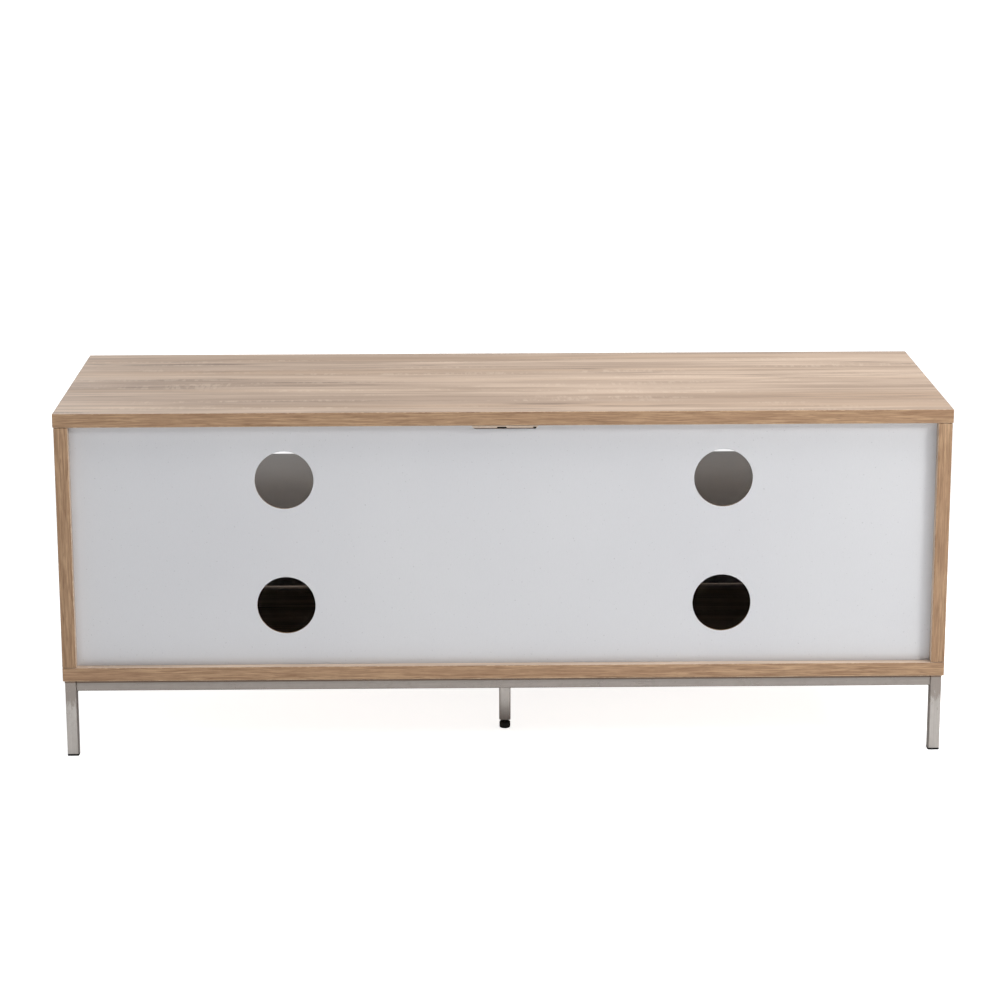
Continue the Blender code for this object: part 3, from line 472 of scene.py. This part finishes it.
def bracket_plate(name, low_z):
    """Thin passivated strip with a warm cast and a painted shadow along its lower edge."""
    look = Look(name, Metallic=1.0)
    mottle = look.noise(look.scaled((160, 160, 160)), 3.0, 0.6)
    colour = look.mix(look.span(mottle, 0.3, 0.7), paint(206, 186, 168), paint(222, 206, 190))
    height = look.math("SUBTRACT", look.parts(look.place)[2], low_z)
    # Painted shadow along the strip's lower edge, where it meets the back panel.
    painted_edge_shade = look.span(height, 0.9 * MM, 1.5 * MM, 0.85, 0.0)
    colour = look.mix(painted_edge_shade, colour, paint(58, 44, 34))
    roughness = look.span(mottle, 0.3, 0.7, 0.38, 0.52)
    return look.finish(colour, roughness, look.bump(mottle, 0.02 * MM))


def moulded(name, dark, light, low_rough, high_rough, grain=700.0, relief=0.03 * MM, **surface):
    """Moulded plastic or rubber: a fine spark-eroded grain and slightly uneven colour."""
    look = Look(name, **surface)
    grains = look.noise(look.scaled((grain, grain, grain)), 3.0, 0.6)
    flow = look.noise(look.scaled((60, 60, 60)), 3.0)
    colour = look.mix(look.span(flow, 0.3, 0.7), dark, light)
    colour = look.mix(look.span(grains, 0.55, 0.75, 0.0, 0.25), colour, light)
    roughness = look.span(grains, 0.3, 0.7, low_rough, high_rough)
    return look.finish(colour, roughness, look.bump(grains, relief))


def black_oxide(name):
    """Blackened screw steel with a faint brown mottle."""
    look = Look(name, Metallic=0.6)
    mottle = look.noise(look.scaled((900, 900, 900)), 3.0, 0.6)
    colour = look.mix(look.span(mottle, 0.35, 0.7), paint(28, 24, 22), paint(66, 54, 46))
    roughness = look.span(mottle, 0.3, 0.7, 0.35, 0.5)
    return look.finish(colour, roughness, look.bump(mottle, 0.02 * MM))


def floor_look():
    """Pale matt floor that glows a little more away from a hub in front of the stand.

    The camera sees it whiter than the light that it gives, as with the surroundings."""
    look = Look("pale_floor", Roughness=0.9, Specular_IOR_Level=0.1)
    grain = look.noise(look.scaled((40, 40, 40)), 2.0)
    colour = look.mix(look.span(grain, 0.3, 0.7), (0.80, 0.80, 0.80, 1), (0.82, 0.82, 0.82, 1))
    centred = look.scaled((1.0, 1.0, 0.0), shift=(0.0, -FLOOR_HUB_Y, 0.0))
    distance = look.add("VectorMath", {0: centred}, operation="LENGTH").outputs["Value"]
    near, middle, far = FLOOR_GLOW_RADII
    hollow = look.span(distance, near, middle, FLOOR_GLOW_NEAR - FLOOR_GLOW_MID, 0.0)
    rise = look.span(distance, middle, far, FLOOR_GLOW_MID, FLOOR_GLOW_FAR)
    glow = look.math("ADD", hollow, rise)
    seen = look.add("LightPath").outputs["Is Camera Ray"]
    lift = look.span(distance, *FLOOR_SEEN_RADII, FLOOR_GLOW_SEEN_NEAR, FLOOR_GLOW_SEEN)
    glow = look.math("ADD", glow, look.math("MULTIPLY", seen, lift))
    look.join(look.shader.inputs["Emission Color"], (1.0, 1.0, 1.0, 1.0))
    look.join(look.shader.inputs["Emission Strength"], glow)
    return look.finish(colour, 0.9)


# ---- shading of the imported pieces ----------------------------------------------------
def soft_shading_group(limit):
    """Node group that joins the triangles and rounds the shading under an edge angle."""
    group = bpy.data.node_groups.new(f"soft_shading_{limit}", "GeometryNodeTree")
    for way in ("INPUT", "OUTPUT"):
        group.interface.new_socket("Geometry", in_out=way, socket_type="NodeSocketGeometry")
    nodes, links = group.nodes, group.links
    start = nodes.new("NodeGroupInput")
    end = nodes.new("NodeGroupOutput")
    merge = nodes.new("GeometryNodeMergeByDistance")
    merge.inputs["Distance"].default_value = 0.01 * MM
    shade = nodes.new("GeometryNodeSetMeshNormal")
    shade.inputs["Remove Custom"].default_value = True
    angle = nodes.new("GeometryNodeInputMeshEdgeAngle")
    sharp = nodes.new("FunctionNodeCompare")
    sharp.operation = "GREATER_THAN"
    sharp.inputs[1].default_value = math.radians(limit)
    links.new(start.outputs[0], merge.inputs["Geometry"])
    links.new(merge.outputs["Geometry"], shade.inputs["Mesh"])
    links.new(angle.outputs[0], sharp.inputs[0])
    links.new(sharp.outputs[0], shade.inputs["Edge Sharpness"])
    links.new(shade.outputs["Mesh"], end.inputs[0])
    return group


def soften(node, group, board=False):
    """Smooth shading for one CAD piece; a board's chamfers shade as rounded edges."""
    NODES[node].modifiers.new("soft shading", "NODES").node_group = group
    if board:
        weighted = NODES[node].modifiers.new("flat faces", "WEIGHTED_NORMAL")
        weighted.keep_sharp = True
        weighted.weight = 100


def dress(node, material):
    """Gives one CAD piece a material in place of its plain one."""
    for slot in NODES[node].material_slots:
        slot.material = material


# ---- small pieces made here ----------------------------------------------------------
# Cross recess: half its width as a share of its reach, its taper and its pointed floor. The
# shoulder's rows are shares of the head's radius and of its dome.
RECESS_WIDTH = 0.24
RECESS_TAPER = 0.55
RECESS_TIP = 1.15
HEAD_SHOULDER = ((0.72, 0.25), (0.90, 0.6), (1.0, 1.0))

# Cam discs, seated just inside their bores.
CAM_FROM_END = 24 * MM
CAM_ROWS = (("front", -150 * MM), ("rear", 150 * MM))
CAM_SEAT = 11.9 * MM
CAM_HEAD = {
    "radius": 7.2 * MM, "rise": 11.5 * MM, "recess": 3.1 * MM, "depth": 2.6 * MM, "dome": 0.5 * MM
}

# Pan-head screws with a turned thread.
SCREW_RECESS = {"recess": 1.75 * MM, "depth": 1.3 * MM, "dome": 1.2 * MM}
SCREW_NECK = 1.7 * MM
SCREW_CREST = 1.75 * MM
SCREW_ROOT = 1.25 * MM
SCREW_PITCH = 1.2 * MM
SCREW_TURNS = 9
SCREW_LENGTH = 12 * MM

# Where the screws sit on the stay plates, the door brackets and the catches.
STAY_PLATE = 1.5 * MM
STAY_SCREWS = (("front", -14.5 * MM), ("rear", 14.5 * MM))
BRACKET_SCREW_INSET = 7.5 * MM
BRACKET_SCREWS = (("lower", -8 * MM), ("upper", 8 * MM))
CATCH_SCREWS = (("left", -13.5 * MM), ("right", 13.5 * MM))
CATCH_SCREW_BACK = 30 * MM
CATCH_FLANGE = 2.5 * MM

# Welds of the base's square tubes.
TUBE = 15 * MM
WELD_CORNER = 1.9 * MM
SEAM_SINK = 0.15 * MM
SEAM_BEAD = 0.34 * MM
FILLET_BEAD = 1.15 * MM
FILLET_STEPS = 26
FILLET_END_GAP = 2.6 * MM
LEG_BEAD = 0.8 * MM

# Levelling foot: rows of (share of the pad's radius, height in millimetres), ribs and stud.
FOOT_SIDES = 48
FOOT_PROFILE = (
    (0.0, 0.0), (0.60, 0.0), (0.82, 0.15), (0.94, 0.6), (0.99, 1.4), (1.0, 2.2),
    (1.0, 7.6), (0.97, 8.3), (0.90, 8.8), (0.80, 9.0), (0.66, 9.2), (0.60, 9.5),
)
FOOT_RIB = 0.045
FOOT_RIB_ROWS = (2.0, 7.8)
STUD_RADIUS = 4.0 * MM
STUD_THREAD = 0.65 * MM
STUD_PITCH = 1.25 * MM


def new_piece(name, bm, material, body):
    """Turns a finished shape into a smooth-shaded piece that rides on one body."""
    mesh = bpy.data.meshes.new(name)
    bmesh.ops.recalc_face_normals(bm, faces=bm.faces)
    bm.to_mesh(mesh)
    bm.free()
    mesh.materials.append(material)
    piece = bpy.data.objects.new(name, mesh)
    bpy.context.scene.collection.objects.link(piece)
    for polygon in mesh.polygons:
        polygon.use_smooth = True
    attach(piece, body)
    return piece


def polar(radius, angle, height):
    """The point at `radius` and `angle` round Z, `height` up."""
    return Vector((radius * math.cos(angle), radius * math.sin(angle), height))


def spin(bm, profile, steps):
    """Turns (radius, height) points about +Z into a closed skin."""
    rings = []
    for radius, height in profile:
        if radius == 0.0:
            rings.append([bm.verts.new((0.0, 0.0, height))])
            continue
        angles = [math.tau * step / steps for step in range(steps)]
        rings.append([bm.verts.new(polar(radius, angle, height)) for angle in angles])
    for lower, upper in zip(rings, rings[1:]):
        bridge(bm, lower, upper)


def bridge(bm, lower, upper):
    """Faces between two closed rings; either ring may be a single point."""
    count = max(len(lower), len(upper))
    for step in range(count):
        after = (step + 1) % count
        corners = [lower[step % len(lower)], lower[after % len(lower)]]
        corners += [upper[after % len(upper)], upper[step % len(upper)]]
        unique = list(dict.fromkeys(corners))
        if len(unique) > 2:
            bm.faces.new(unique)


def place_along(bm, place, direction, roll=0.0):
    """Moves a shape made about +Z so that it stands at `place` along `direction`."""
    turn = Z_AXIS.rotation_difference(Vector(direction)).to_matrix().to_4x4()
    rolled = Matrix.Rotation(roll, 4, "Z")
    bmesh.ops.transform(bm, matrix=Matrix.Translation(place) @ turn @ rolled, verts=bm.verts)


def cross_outline(reach):
    """The twelve corners of a cross recess, in order round the middle."""
    half = reach * RECESS_WIDTH
    corners = []
    for quarter in range(4):
        turn = Matrix.Rotation(quarter * math.pi / 2, 3, "Z")
        for x, y in ((half, half), (reach, half), (reach, -half)):
            corners.append(turn @ Vector((x, y, 0.0)))
    return sorted(corners, key=lambda corner: math.atan2(corner.y, corner.x))


def recessed_head(radius, rise, recess, depth, dome):
    """A round head with a cross recess; its seat is at height 0 and its top at `rise`."""
    bm = bmesh.new()
    outline = cross_outline(recess)
    angles = [math.atan2(corner.y, corner.x) for corner in outline]
    floor_height = rise - depth
    mouth = [bm.verts.new((v.x, v.y, rise)) for v in outline]
    shrunk = [
        bm.verts.new((v.x * RECESS_TAPER, v.y * RECESS_TAPER, floor_height)) for v in outline
    ]
    bridge(bm, mouth, shrunk)
    tip = bm.verts.new((0.0, 0.0, rise - depth * RECESS_TIP))
    bridge(bm, shrunk, [tip])
    rows = [(radius * share, rise - dome * fall) for share, fall in HEAD_SHOULDER]
    ring = mouth
    for reach, height in rows + [(radius, 0.0)]:
        wider = [bm.verts.new(polar(reach, angle, height)) for angle in angles]
        bridge(bm, ring, wider)
        ring = wider
    bridge(bm, ring, [bm.verts.new((0.0, 0.0, 0.0))])
    return bm


def add_cams(material):
    """Cam discs that close the bores in the side panels and the centre divider."""
    top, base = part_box("top_panel")[0].z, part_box("bottom_panel")[1].z
    levels = (("lower", base + CAM_FROM_END), ("upper", top - CAM_FROM_END))
    faces = (
        ("left_panel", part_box("left_side_panel")[1].x, 1),
        ("right_panel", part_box("right_side_panel")[0].x, -1),
        ("divider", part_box("centre_divider")[1].x, 1),
    )
    for label, x, facing in faces:
        for row, y in CAM_ROWS:
            for level, z in levels:
                bm = recessed_head(**CAM_HEAD)
                roll = random.uniform(0.2, 1.3)
                place_along(bm, (x - facing * CAM_SEAT, y, z), (facing, 0, 0), roll)
                new_piece(f"cam_{label}_{row}_{level}", bm, material, "stand")


def add_screw(name, place, direction, material, body, radius=3.3 * MM, rise=1.9 * MM):
    """A pan-head screw with its seat at `place`, its top along `direction`."""
    bm = recessed_head(radius, rise, **SCREW_RECESS)
    place_along(bm, place, direction, random.uniform(0.0, 1.5))
    profile = [(0.0, 0.0), (SCREW_NECK, 0.0)]
    for turn in range(SCREW_TURNS):
        depth = -0.2 * MM - turn * SCREW_PITCH
        profile += [(SCREW_CREST, depth), (SCREW_ROOT, depth - SCREW_PITCH / 2)]
    profile.append((0.0, -SCREW_LENGTH))
    shank = bmesh.new()
    spin(shank, profile, 16)
    place_along(shank, place, direction)
    mesh = bpy.data.meshes.new("shank")
    shank.to_mesh(mesh)
    shank.free()
    bm.from_mesh(mesh)
    bpy.data.meshes.remove(mesh)
    new_piece(name, bm, material, body)


def add_screws(material):
    """Screws of the stay plates, the door brackets and the touch catches."""
    for name, side in SIDES:
        low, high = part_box(f"{name}_stay_mount")
        middle = (low + high) / 2
        x = (high.x if side > 0 else low.x) - side * STAY_PLATE
        for label, shift in STAY_SCREWS:
            place = (x, middle.y + shift, middle.z)
            add_screw(f"{name}_stay_mount_screw_{label}", place, (-side, 0, 0), material, "stand")
        low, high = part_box(f"{name}_stay_bracket")
        middle = (low + high) / 2
        x = (low.x if side > 0 else high.x) + side * BRACKET_SCREW_INSET
        for label, shift in BRACKET_SCREWS:
            place = (x, low.y + STAY_PLATE, middle.z + shift)
            label = f"{name}_stay_bracket_screw_{label}"
            add_screw(label, place, (0, 1, 0), material, f"{name}_door")
        low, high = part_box(f"{name}_catch_housing")
        middle = (low + high) / 2
        for label, shift in CATCH_SCREWS:
            place = (middle.x + shift, low.y + CATCH_SCREW_BACK, high.z - CATCH_FLANGE)
            label = f"{name}_catch_screw_{label}"
            add_screw(label, place, (0, 0, -1), material, "stand", 3.0 * MM, 1.6 * MM)


def bead(bm, points, radius, closed=False, ripple=0.0, sides=8):
    """A swept weld bead through `points`, with ripples along its length."""
    rings = []
    last_side = None
    count = len(points)
    for step, point in enumerate(points):
        before = points[step - 1] if closed or step else point
        after = points[(step + 1) % count] if closed or step < count - 1 else point
        along = (after - before).normalized()
        side = along.orthogonal().normalized()
        if last_side is not None and abs(along.dot(last_side)) < 0.9:
            side = (last_side - along * last_side.dot(along)).normalized()
        last_side = side
        up = along.cross(side)
        reach = radius * (1.0 + ripple * math.sin(step * 2.1) + random.uniform(-0.5, 0.5) * ripple)
        if not closed and step in (0, count - 1):
            reach *= 0.35
        rings.append([
            bm.verts.new(point + (side * math.cos(a) + up * math.sin(a)) * reach)
            for a in (math.tau * k / sides for k in range(sides))
        ])
    pairs = list(zip(rings, rings[1:]))
    if closed:
        pairs.append((rings[-1], rings[0]))
    for first, second in pairs:
        bridge(bm, first, second)
    if not closed:
        bm.faces.new(rings[0])
        bm.faces.new(reversed(rings[-1]))


def seam_loop(centre, normal, half, corner, steps=4):
    """Points round a rounded square of half-width `half`, square to `normal`."""
    normal = Vector(normal)
    side = normal.orthogonal().normalized()
    up = normal.cross(side)

    def on_corner(quarter, angle):
        """The point of one rounded corner that lies `angle` round from `side`."""
        middle = math.pi / 4 + quarter * math.pi / 2
        x = math.copysign(half - corner, math.cos(middle)) + corner * math.cos(angle)
        y = math.copysign(half - corner, math.sin(middle)) + corner * math.sin(angle)
        return Vector(centre) + side * x + up * y

    points = []
    for quarter in range(4):
        for step in range(steps + 1):
            points.append(on_corner(quarter, math.pi / 2 * (quarter + step / steps)))
        flat_from = points[-1]
        flat_to = on_corner(quarter + 1, math.pi / 2 * (quarter + 1))
        for share in (0.2, 0.4, 0.6, 0.8):
            points.append(flat_from.lerp(flat_to, share))
    return points


def rail_ends():
    """Name, centre and inward direction of each rail end that is welded."""
    ends = []
    for place in ("front", "rear"):
        low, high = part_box(f"{place}_rail")
        middle = (low + high) / 2
        ends.append((f"weld_{place}_rail_left", Vector((low.x, middle.y, middle.z)), X_AXIS))
        ends.append((f"weld_{place}_rail_right", Vector((high.x, middle.y, middle.z)), -X_AXIS))
    for rail in ("left_end_rail", "cross_rail", "right_end_rail"):
        low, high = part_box(rail)
        middle = (low + high) / 2
        ends.append((f"weld_{rail}_front", Vector((middle.x, low.y, middle.z)), Y_AXIS))
        ends.append((f"weld_{rail}_rear", Vector((middle.x, high.y, middle.z)), -Y_AXIS))
    return ends


def add_welds(material):
    """Ground seams round each rail end and fillet beads in the corners under the rails."""
    half = TUBE / 2 - SEAM_SINK
    for name, centre, inward in rail_ends():
        bm = bmesh.new()
        seam = seam_loop(centre - inward * SEAM_SINK, inward, half, WELD_CORNER)
        bead(bm, seam, SEAM_BEAD, True, 0.12)
        if "cross_rail" not in name:
            across = inward.cross(Z_AXIS)
            corner = centre - Z_AXIS * (TUBE / 2 + 0.1 * MM) + inward * 0.5 * MM
            shares = [step / (FILLET_STEPS - 1) - 0.5 for step in range(FILLET_STEPS)]
            line = [corner + across * share * (TUBE - FILLET_END_GAP) for share in shares]
            bead(bm, line, FILLET_BEAD, False, 0.16)
        new_piece(name, bm, material, "stand")
    low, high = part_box("centre_leg")
    centre = Vector(((low.x + high.x) / 2, (low.y + high.y) / 2, high.z + SEAM_SINK))
    bm = bmesh.new()
    bead(bm, seam_loop(centre, Z_AXIS, half + 0.2 * MM, WELD_CORNER), LEG_BEAD, True, 0.2)
    new_piece("weld_centre_leg", bm, material, "stand")


def foot_pad_rings(bm, centre, pad):
    """Rings of the ribbed pad, from the middle of its sole up to the stud."""
    rings = []
    for scale, height in FOOT_PROFILE:
        if scale == 0.0:
            rings.append([bm.verts.new(centre)])
            continue
        ribbed = FOOT_RIB_ROWS[0] <= height <= FOOT_RIB_ROWS[1]
        ring = []
        for step in range(FOOT_SIDES):
            reach = pad * (scale - (FOOT_RIB if ribbed and step % 2 else 0.0))
            spot = polar(reach, math.tau * step / FOOT_SIDES, height * MM)
            ring.append(bm.verts.new(centre + spot))
        rings.append(ring)
    return rings


def foot_stud_rings(bm, centre, top):
    """Rings that climb round the stud as a thread, from the pad up to near `top`."""
    start = FOOT_PROFILE[-1][1] * MM + 0.2 * MM
    rings = []
    for turn in range(int((top - start - 1.0 * MM) / STUD_PITCH)):
        for reach, rise in ((STUD_RADIUS - STUD_THREAD, 0.0), (STUD_RADIUS, 0.5)):
            ring = []
            for step in range(FOOT_SIDES):
                height = start + (turn + rise + step / FOOT_SIDES) * STUD_PITCH
                spot = polar(reach, math.tau * step / FOOT_SIDES, height)
                ring.append(bm.verts.new(centre + spot))
            rings.append(ring)
    return rings


def add_foot(material):
    """Levelling foot: a ribbed pad with a rounded sole and a threaded stud."""
    low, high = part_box("levelling_foot")
    centre = Vector(((low.x + high.x) / 2, (low.y + high.y) / 2, 0.0))
    bm = bmesh.new()
    rings = foot_pad_rings(bm, centre, (high.x - low.x) / 2)
    rings += foot_stud_rings(bm, centre, high.z)
    rings.append([bm.verts.new(centre + Vector((0, 0, high.z)))])
    for lower, upper in zip(rings, rings[1:]):
        bridge(bm, lower, upper)
    foot = new_piece("levelling_foot_detailed", bm, material, "levelling_foot")
    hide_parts("levelling_foot")


# ---- put it together -----------------------------------------------------------------
add_camera()
add_world(WORLD_LIGHT)
for softbox in SOFTBOXES:
    add_softbox(*softbox)
bpy.context.scene.view_settings.view_transform = "Standard"

add_floor(floor_look())

for board in ("top_panel", "bottom_panel"):
    dress(board, oak(f"oak_{board}", *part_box(board)))
for board in ("left_side_panel", "right_side_panel"):
    dress(board, oak(f"oak_{board}", *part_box(board), upright=True))
for board in ("left_shelf", "right_shelf", "left_door", "right_door"):
    dress(board, white_board(f"white_{board}", *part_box(board)))
bracket_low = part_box("anchor_bracket")[0]
slot_middle = (SLOT_X, bracket_low.y - 4 * MM, bracket_low.z + SLOT_RISE)
dress("back_panel", white_back("white_back", *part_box("back_panel"), slot_middle))
divider_look = oak("oak_divider", *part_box("centre_divider"), upright=True, pocket=slot_middle)
dress("centre_divider", divider_look)
dress("anchor_bracket", bracket_plate("bracket_plate", bracket_low.z))

tube_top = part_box("rear_rail")[1].z
# Lit and shaded copies of one plating: the rails are painted darker as shade under the board, the
# legs lighter.
painted_shade_rail_tones = (paint(149, 142, 136), paint(163, 156, 150))
painted_light_leg_tones = (paint(182, 177, 172), paint(200, 195, 190))
tube_looks = [
    plated("plated_rail_x", 0, *painted_shade_rail_tones, tube_top),
    plated("plated_rail_y", 1, *painted_shade_rail_tones, tube_top),
    plated("plated_leg", 2, *painted_light_leg_tones, tube_top),
]
# The centre leg's plating is clear of the painted contact shadow; below 40 mm it gets painted
# shade towards the floor.
clear_of_contact_shade = tube_top + 50 * MM
centre_leg_look = plated("plated_centre_leg", 2, *painted_light_leg_tones, clear_of_contact_shade, 40 * MM)
zinc_look = zinc("zinc_plate")
black_look = moulded(
    "black_polymer", paint(5, 4, 4), paint(16, 14, 14), 0.45, 0.62, Specular_IOR_Level=0.3
)
white_look = moulded("white_nylon", paint(216, 216, 211), paint(232, 232, 228), 0.34, 0.48)
rubber_look = moulded(
    "clear_rubber", paint(196, 200, 200), paint(220, 223, 222), 0.22, 0.34,
    grain=300.0, relief=0.02 * MM, Transmission_Weight=0.55,
)
screw_look = black_oxide("black_oxide")
BY_SLOT = {
    "zinc_steel": zinc_look,
    "black_plastic": black_look,
    "white_plastic": white_look,
    "clear_rubber": rubber_look,
    "black_screw": screw_look,
}
round_shading = soft_shading_group(35)
board_shading = soft_shading_group(60)
for part in frame["record"]["subparts"]:
    node, slot = part["node"], part["material_slot"]
    if node == "centre_leg":
        dress(node, centre_leg_look)
    elif slot == "chrome_tube":
        low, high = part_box(node)
        size = list(high - low)
        dress(node, tube_looks[size.index(max(size))])
    elif slot in BY_SLOT and node != "anchor_bracket":
        dress(node, BY_SLOT[slot])
    is_board = slot in ("oak_decor", "white_board", "white_back")
    soften(node, board_shading if is_board else round_shading, is_board)

add_cams(zinc_look)
add_screws(zinc_look)
add_welds(tube_looks[0])
add_foot(black_look)
